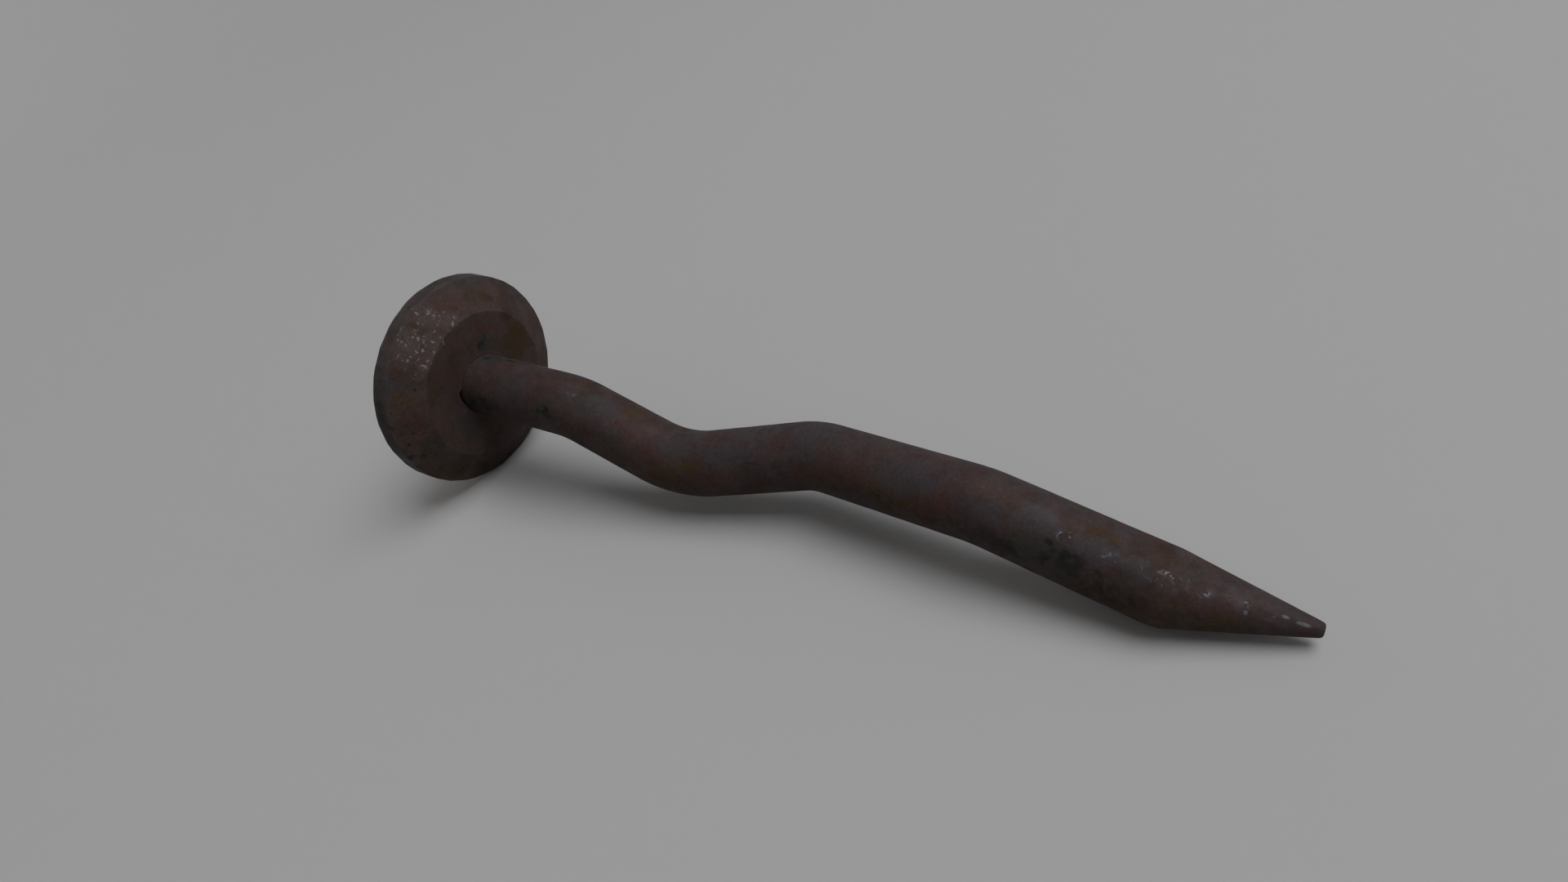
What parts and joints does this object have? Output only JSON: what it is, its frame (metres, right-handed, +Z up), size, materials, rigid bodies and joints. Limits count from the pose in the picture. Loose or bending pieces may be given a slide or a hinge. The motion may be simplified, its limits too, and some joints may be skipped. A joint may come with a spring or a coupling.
{
  "type": "rail spike",
  "caption": "Bent, rusted round-bar spike with a blunt conical point and a thick bevelled disc head, modelled as a separate riveted disc, lying on its side.",
  "frame": {"origin": "on the ground, under the middle of the spike's length and width as it lies on its side", "axes": "+X runs along the spike from the head to the point, +Z is up from the ground, +Y completes a right-handed frame"},
  "size_m": [0.216, 0.056, 0.0562],
  "materials": {
    "rusted_head": "dark brown rust over forged steel, pitted, with bluish grey scale on the rim",
    "rusted_bar": "dark brown rust and mill scale over rolled steel, worn to grey metal at the point"
  },
  "bodies": {
    "root": {"head_disc": "rusted_head", "shank": "rusted_bar"}
  },
  "joints": []
}
